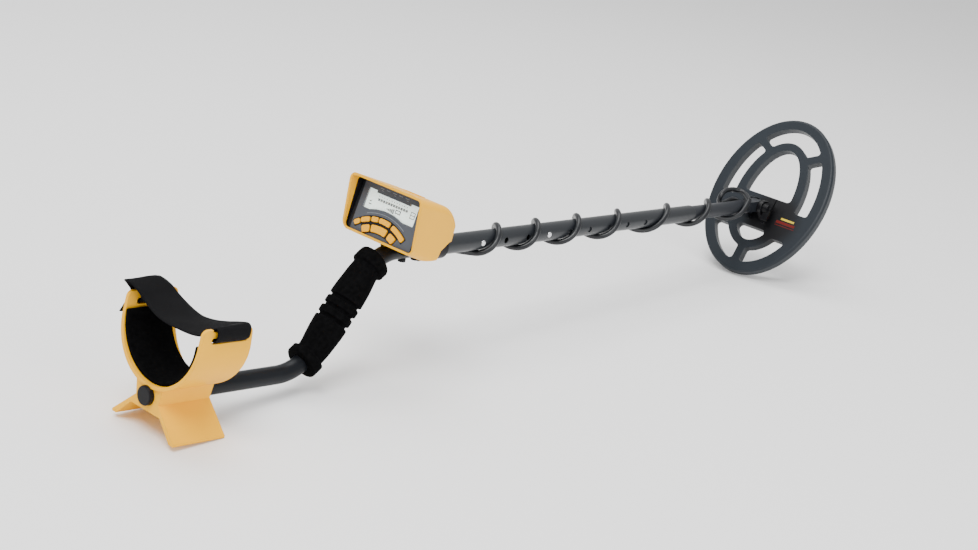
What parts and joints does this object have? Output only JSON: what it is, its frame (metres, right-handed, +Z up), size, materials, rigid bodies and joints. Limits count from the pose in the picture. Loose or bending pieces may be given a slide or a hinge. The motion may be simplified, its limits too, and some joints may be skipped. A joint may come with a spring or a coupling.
{
  "type": "metal detector",
  "caption": "Hobby metal detector: S-rod with arm cuff and foam grip, hooded control box, telescoping stem and a tilting elliptical search coil.",
  "frame": {"origin": "on the ground under the middle of its length, standing on the two feet of the arm cuff and the rear rim of the coil", "axes": "+X forward from the cuff to the coil, +Y to the left of the user, +Z up"},
  "size_m": [1.1026, 0.165, 0.2017],
  "materials": {
    "rod_coat": "satin black",
    "stem_plastic": "satin",
    "housing_yellow": "satin",
    "key_yellow": "satin",
    "panel_slate": "semi-gloss",
    "coil_slate": "fine satin",
    "black_plastic": "matt",
    "foam": "foam",
    "webbing": "woven",
    "rubber": "matt",
    "steel": "bright",
    "spring_steel": "brushed",
    "window": "clear",
    "lcd": "satin",
    "board": "satin",
    "cell": "gloss",
    "copper": "enamelled",
    "speaker_black": "matt",
    "cable_pvc": "satin"
  },
  "bodies": {
    "handle": {"s_rod": "rod_coat", "rod_end_plug": "black_plastic", "foam_grip": "foam", "cuff": "housing_yellow", "cuff_pad": "foam", "cuff_strap": "webbing", "cuff_bolt": "black_plastic", "middle_stem": "rod_coat", "clip_leaf_rear": "spring_steel", "housing_shell": "housing_yellow", "panel": "panel_slate", "display_window": "window", "display_module": "lcd", "key_domes": "rubber", "main_board": "board", "battery_tray": "black_plastic", "batteries": "cell", "battery_contacts": "spring_steel", "speaker": "speaker_black", "headphone_jack": "black_plastic", "saddle": "black_plastic", "saddle_bolts": "black_plastic", "coil_socket": "steel", "cable_plug": "rubber", "cable_wound": "cable_pvc"},
    "stem": {"lower_stem": "stem_plastic", "stem_yoke": "stem_plastic", "rubber_washers": "rubber", "clip_leaf_front": "spring_steel", "cable_lower": "cable_pvc", "cable_loop": "cable_pvc"},
    "coil": {"coil_shell": "coil_slate", "coil_cover": "coil_slate", "transmit_winding": "copper", "receive_winding": "copper", "coil_bolt": "black_plastic", "strain_relief": "rubber"},
    "wing_nut": {"wing_nut": "black_plastic"},
    "battery_door": {"battery_door": "housing_yellow"},
    "coupling_ring": {"coupling_ring": "steel"},
    "clip_button_rear_left": {"clip_button_rear_left": "steel"},
    "clip_button_rear_right": {"clip_button_rear_right": "steel"},
    "clip_button_front_left": {"clip_button_front_left": "steel"},
    "clip_button_front_right": {"clip_button_front_right": "steel"},
    "key_power": {"key_power": "key_yellow"},
    "key_mode": {"key_mode": "key_yellow"},
    "key_sense_down": {"key_sense_down": "key_yellow"},
    "key_sense_up": {"key_sense_up": "key_yellow"},
    "key_depth": {"key_depth": "key_yellow"},
    "key_pinpoint": {"key_pinpoint": "key_yellow"},
    "key_discriminate": {"key_discriminate": "key_yellow"},
    "key_accept": {"key_accept": "key_yellow"}
  },
  "joints": [
    {"name": "stem_extend", "type": "slide", "parent": "handle", "child": "stem", "axis": [0.9988, 0, -0.049], "range_m": [-0.0762, 0.1524], "deforming": ["cable_lower"]},
    {"name": "coil_tilt", "type": "hinge", "parent": "stem", "child": "coil", "pos_m": [0.4538, 0, 0.09345], "axis": [0, -1, 0], "range_deg": [-58, 88], "deforming": ["cable_loop"]},
    {"name": "wing_nut_turn", "type": "hinge", "parent": "coil", "child": "wing_nut", "pos_m": [0.4538, -0.018, 0.09345], "axis": [0, -1, 0], "continuous": true},
    {"name": "coupling_ring_turn", "type": "hinge", "parent": "handle", "child": "coupling_ring", "pos_m": [-0.21504, 0.0205, 0.12528], "axis": [0.9988, 0, -0.049], "continuous": true},
    {"name": "battery_door_slide", "type": "slide", "parent": "handle", "child": "battery_door", "axis": [0.9503, 0, -0.3112], "range_m": [0, 0.014]},
    {"name": "clip_button_rear_left_press", "type": "slide", "parent": "handle", "child": "clip_button_rear_left", "axis": [0, -1, 0], "range_m": [0, 0.0021], "stiffness_N_per_m": 1500, "springref_m": -0.001, "deforming": ["clip_leaf_rear"]},
    {"name": "clip_button_rear_right_press", "type": "slide", "parent": "handle", "child": "clip_button_rear_right", "axis": [0, 1, 0], "range_m": [0, 0.0021], "stiffness_N_per_m": 1500, "springref_m": -0.001, "deforming": ["clip_leaf_rear"]},
    {"name": "clip_button_front_left_press", "type": "slide", "parent": "stem", "child": "clip_button_front_left", "axis": [0, -1, 0], "range_m": [0, 0.0021], "stiffness_N_per_m": 1500, "springref_m": -0.001, "deforming": ["clip_leaf_front"]},
    {"name": "clip_button_front_right_press", "type": "slide", "parent": "stem", "child": "clip_button_front_right", "axis": [0, 1, 0], "range_m": [0, 0.0021], "stiffness_N_per_m": 1500, "springref_m": -0.001, "deforming": ["clip_leaf_front"]},
    {"name": "key_power_press", "type": "slide", "parent": "handle", "child": "key_power", "axis": [0.9573, 0, -0.2892], "range_m": [0, 0.0008], "stiffness_N_per_m": 1200, "springref_m": -0.0004},
    {"name": "key_mode_press", "type": "slide", "parent": "handle", "child": "key_mode", "axis": [0.9573, 0, -0.2892], "range_m": [0, 0.0008], "stiffness_N_per_m": 1200, "springref_m": -0.0004},
    {"name": "key_sense_down_press", "type": "slide", "parent": "handle", "child": "key_sense_down", "axis": [0.9573, 0, -0.2892], "range_m": [0, 0.0008], "stiffness_N_per_m": 1200, "springref_m": -0.0004},
    {"name": "key_sense_up_press", "type": "slide", "parent": "handle", "child": "key_sense_up", "axis": [0.9573, 0, -0.2892], "range_m": [0, 0.0008], "stiffness_N_per_m": 1200, "springref_m": -0.0004},
    {"name": "key_depth_press", "type": "slide", "parent": "handle", "child": "key_depth", "axis": [0.9573, 0, -0.2892], "range_m": [0, 0.0008], "stiffness_N_per_m": 1200, "springref_m": -0.0004},
    {"name": "key_pinpoint_press", "type": "slide", "parent": "handle", "child": "key_pinpoint", "axis": [0.9573, 0, -0.2892], "range_m": [0, 0.0008], "stiffness_N_per_m": 1200, "springref_m": -0.0004},
    {"name": "key_discriminate_press", "type": "slide", "parent": "handle", "child": "key_discriminate", "axis": [0.9573, 0, -0.2892], "range_m": [0, 0.0008], "stiffness_N_per_m": 1200, "springref_m": -0.0004},
    {"name": "key_accept_press", "type": "slide", "parent": "handle", "child": "key_accept", "axis": [0.9573, 0, -0.2892], "range_m": [0, 0.0008], "stiffness_N_per_m": 1200, "springref_m": -0.0004}
  ]
}
